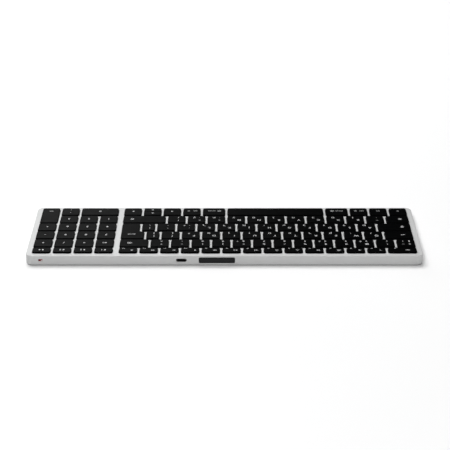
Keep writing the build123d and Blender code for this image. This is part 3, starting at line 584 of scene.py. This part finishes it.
ICONS = {
    "dim": sun(0.45, 1.15),
    "bright": sun(0.6, 1.5),
    "windows": [*frame_of(-1.7, -1.1, 0.4, 0.5), *frame_of(0.8, -1.1, 1.8, -0.1),
                *frame_of(-0.6, 0.8, 1.8, 1.5)],
    "grid": [bar(x, y, x + 0.75, y + 0.75) for x in (-1.5, -0.4, 0.7) for y in (-1.0, 0.2)],
    "lamp_dim": lamp(0.55, 1.3),
    "lamp_bright": lamp(0.7, 1.7),
    "back": [wedge(0, -1, 1.7), wedge(1.7, -1, 1.7)],
    "play": [wedge(-1.7, 1, 1.7), bar(0.4, -0.85, 0.8, 0.85), bar(1.2, -0.85, 1.6, 0.85)],
    "forward": [wedge(-1.7, 1, 1.7), wedge(0, 1, 1.7)],
    "mute": speaker(0),
    "quiet": speaker(1),
    "loud": speaker(2),
    "eject": [[(-1.2, -0.2), (1.2, -0.2), (0, 1.1)], bar(-1.2, -0.9, 1.2, -0.5)],
    "link": [disc(0, 0, 0.75), *(band(0, 0, 1.15, 0.3, a - 45, a + 45) for a in (90, 270))],
    "return": [bar(-2.5, -0.25, 3.4, 0.25), bar(2.9, 0.25, 3.4, 1.3), [(-3.8, 0), (-2.3, -0.8), (-2.3, 0.8)]],
    "clear": [*frame_of(-0.9, -0.9, 1.9, 0.9, 0.3), [(-2.1, 0), (-0.9, -0.9), (-0.9, 0.9)]],
}


# Each mark of a legend is its text or icon, its size or 0 for an icon, and its place across and along the
# cap as shares of the cap's width and depth.


def letters(latin, other):
    """One cap each with its Latin letter up on the left, and the second alphabet's low on the right."""
    return [[(a, BIG, 0.33, 0.64), (b, BIG, 0.63, 0.29)] for a, b in zip(latin, other)]


def pair(low, high, extra=""):
    """A cap with two signs one over the other, and perhaps a small third on the right."""
    marks = [(low, MEDIUM, 0.4, 0.27), (high, MEDIUM, 0.4, 0.68)]
    return marks + ([(extra, SMALL, 0.74, 0.3)] if extra else [])


def function(number, icon):
    """A function key's icon, with its small name low on the right."""
    return [(icon, 0, 0.29, 0.6), ("F%d" % number, TINY, 0.76, 0.2)]


def lower(low, high, other):
    """A cap with two signs on the left and a letter of the second alphabet on the right."""
    return [(low, SMALL, 0.32, 0.3), (high, SMALL, 0.32, 0.66), (other, BIG, 0.63, 0.29)]


def middle(sign, size=BIG):
    """One cap with one sign in its middle."""
    return [[(sign, size, 0.5, 0.47)]]


HEBREW_UPPER, HEBREW_HOME, HEBREW_LOWER = "/'קראטוןםפ", "שדגכעיחלךף", "זסבהנמצתץ"
FUNCTION_ICONS = ("dim", "bright", "windows", "grid", "lamp_dim", "lamp_bright",
                  "back", "play", "forward", "mute", "quiet", "loud", "eject")

# Each key node's caps from left to right
LEGENDS = {
    "escape_key": [[("esc", SMALL, 0.32, 0.58), ("⎋", TINY, 0.76, 0.2)]],
    "function_keys": [function(i + 1, icon) for i, icon in enumerate(FUNCTION_ICONS)],
    "number_row_keys": [
        [("§", MEDIUM, 0.3, 0.27), ("±", MEDIUM, 0.3, 0.68),
         (";", MEDIUM, 0.66, 0.27), ("~", MEDIUM, 0.66, 0.68)],
        pair("1", "!"), pair("2", "@", "€"), pair("3", "#"), pair("4", "$", "£"), pair("5", "%"),
        pair("6", "^"), pair("7", "&"), pair("8", "*", "×"), pair("9", ")"), pair("0", "("),
        pair("-", "_"), pair("=", "+")],
    "delete_key": [[("⌫", MEDIUM, 0.65, 0.5)]],
    "tab_key": [[("⇥", BIG, 0.34, 0.5)]],
    "upper_letter_keys": [*letters("QWERTYUIOP", HEBREW_UPPER), pair("[", "{"), pair("]", "}")],
    "return_key": [[("return", 0, 0.54, 0.72)]],
    "caps_lock_key": [[("⇪", BIG, 0.26, 0.5)]],
    "home_letter_keys": [*letters("ASDFGHJKL", HEBREW_HOME),
                         lower(";", ":", "ף"), pair("'", '"'), pair("\\", "|")],
    "left_shift_key": [[("⇧", BIG, 0.38, 0.5)]],
    "lower_letter_keys": [pair("`", "~"), *letters("ZXCVBNM", HEBREW_LOWER),
                          lower(",", "<", "ת"), lower(".", ">", "ץ"), pair("/", "?")],
    "right_shift_key": [[("⇧", BIG, 0.79, 0.5)]],
    "left_modifier_keys": [
        [("fn", WORD, 0.5, 0.42)], [("ctrl", WORD, 0.5, 0.42)],
        [("option", TINY, 0.31, 0.42), ("alt", WORD, 0.69, 0.42)],
        [("command", TINY, 0.37, 0.42), ("◇", MEDIUM, 0.7, 0.42)]],
    "right_modifier_keys": [
        [("◇", MEDIUM, 0.26, 0.42), ("command", TINY, 0.6, 0.42)],
        [("option", TINY, 0.31, 0.42), ("alt", WORD, 0.69, 0.42)]],
    "left_arrow_key": middle("◀", WORD),
    "up_arrow_key": middle("▲", WORD),
    "down_arrow_key": middle("▼", WORD),
    "right_arrow_key": middle("▶", WORD),
    "keypad_clear_key": [[("clear", 0, 0.5, 0.47)]],
    "keypad_enter_key": [[("enter", TINY, 0.5, 0.21)]],
    "keypad_decimal_key": [[(".", BIG, 0.5, 0.66), (",", MEDIUM, 0.5, 0.25)]],
    "keypad_equals_key": middle("=", MEDIUM),
    "keypad_divide_key": middle("/"),
    "keypad_multiply_key": middle("×", MEDIUM),
    "keypad_minus_key": middle("−", SMALL),
    "keypad_plus_key": middle("+", MEDIUM),
    **{"keypad_%d_key" % i: middle(str(i)) for i in range(10)},
    **{"keypad_function_%d_key" % i: [[("link", 0, 0.42, 0.5), (str(i), MEDIUM, 0.6, 0.5)]]
       for i in range(1, 5)},
}


def caps(name):
    """Each cap of a key node from the left: its left and right ends, and the row's front, rear and top."""
    mesh = NODES[name].data
    across = [v.co.dot(ACROSS) for v in mesh.vertices]
    along = [v.co.dot(ALONG) for v in mesh.vertices]
    spans = []
    for low, high in sorted(sorted(across[i] for i in edge.vertices) for edge in mesh.edges):
        if spans and low <= spans[-1][1] + 0.01 * MM:
            spans[-1][1] = max(spans[-1][1], high)
        else:
            spans.append([low, high])
    top = max(v.co.dot(NORMAL) for v in mesh.vertices)
    return [(low, high, min(along), max(along), top) for low, high in spans]


def legends():
    """Prints every key."""
    ink = legend_ink()
    for name, rows in LEGENDS.items():
        found = caps(name)
        if len(found) != len(rows):
            raise ValueError(f"{name} has {len(found)} caps and {len(rows)} legends")
        sheet = Print()
        for (left, right, front, rear, top), marks in zip(found, rows):
            for sign, size, share_across, share_along in marks:
                across = left + share_across * (right - left)
                along = front + share_along * (rear - front)
                origin = across * ACROSS + along * ALONG + top * NORMAL
                if size:
                    sheet.add(*lettering(sign, size), origin)
                else:
                    for outline in ICONS[sign]:
                        sheet.slab(outline, origin)
        sheet.piece(name.replace("_keys", "").replace("_key", "") + "_legends", name, ink)


# ---------------------------------------------------------------- what gives way under a key

SOFT_NODES = ("rubber_domes", "scissor_outer_levers", "scissor_inner_levers", "stabiliser_bars")
PRESS = "_press"
LAST_KEY = "return_key"  # L-shaped, so its box also holds part of a neighbour
SMOOTH_ANGLE = math.radians(30)


def islands(mesh):
    """The faces of a mesh, as vertex lists, sorted into its separate shapes."""
    parent = list(range(len(mesh.vertices)))

    def root(i):
        while parent[i] != i:
            parent[i] = parent[parent[i]]
            i = parent[i]
        return i

    for edge in mesh.edges:
        parent[root(edge.vertices[0])] = root(edge.vertices[1])
    shapes = {}
    for polygon in mesh.polygons:
        shapes.setdefault(root(polygon.vertices[0]), []).append(list(polygon.vertices))
    return shapes.values()


def mechanism_piece(name, mesh, faces):
    """A piece made of some faces of a CAD node's mesh."""
    used = sorted({i for face in faces for i in face})
    place = {old: new for new, old in enumerate(used)}
    part = bpy.data.meshes.new(name)
    part.from_pydata([mesh.vertices[i].co for i in used], [], [[place[i] for i in face] for face in faces])
    part.shade_smooth()
    part.set_sharp_from_angle(angle=SMOOTH_ANGLE)
    thing = bpy.data.objects.new(name, part)
    bpy.context.scene.collection.objects.link(thing)
    return thing


def mechanisms(materials):
    """Each key gets its own copies of the domes, levers and wires under it, which stay with the case."""
    presses = {j["name"]: j for j in frame["joints"] if j["name"].endswith(PRESS)}
    keys = sorted((name.removesuffix(PRESS) for name in presses), key=lambda name: name == LAST_KEY)
    covers = [(key, cap) for key in keys for cap in caps(key)]
    for source in SOFT_NODES:
        mesh = NODES[source].data
        under = {}
        for faces in islands(mesh):
            corners = [mesh.vertices[i].co for face in faces for i in face]
            middle = sum(corners, Vector()) / len(corners)
            across, along = middle.dot(ACROSS), middle.dot(ALONG)
            key = next(key for key, (left, right, front, rear, _) in covers
                       if left <= across <= right and front <= along <= rear)
            under.setdefault(key, []).extend(faces)
        for key, faces in under.items():
            thing = mechanism_piece(key + "_" + source, mesh, faces)
            thing.data.materials.append(materials[SLOTS[source]])
            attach(thing, "case")
            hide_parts(source)
            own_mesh(thing)


# ---------------------------------------------------------------- the scene

FINISHES = (case_aluminium, key_plastic, cover_plastic, foot_rubber, screw_steel, plate_steel, membrane_film,
            dome_rubber, lever_plastic, wire_steel, board_laminate, battery_foil, lead_sheath, socket_steel,
            window_plastic, switch_plastic, slider_plastic, light_pipe)

materials = {make.__name__: make() for make in FINISHES}
for name, node in NODES.items():
    node.data.materials.clear()
    node.data.materials.append(materials[SLOTS[name]])

camera()
studio()
legends()
mechanisms(materials)
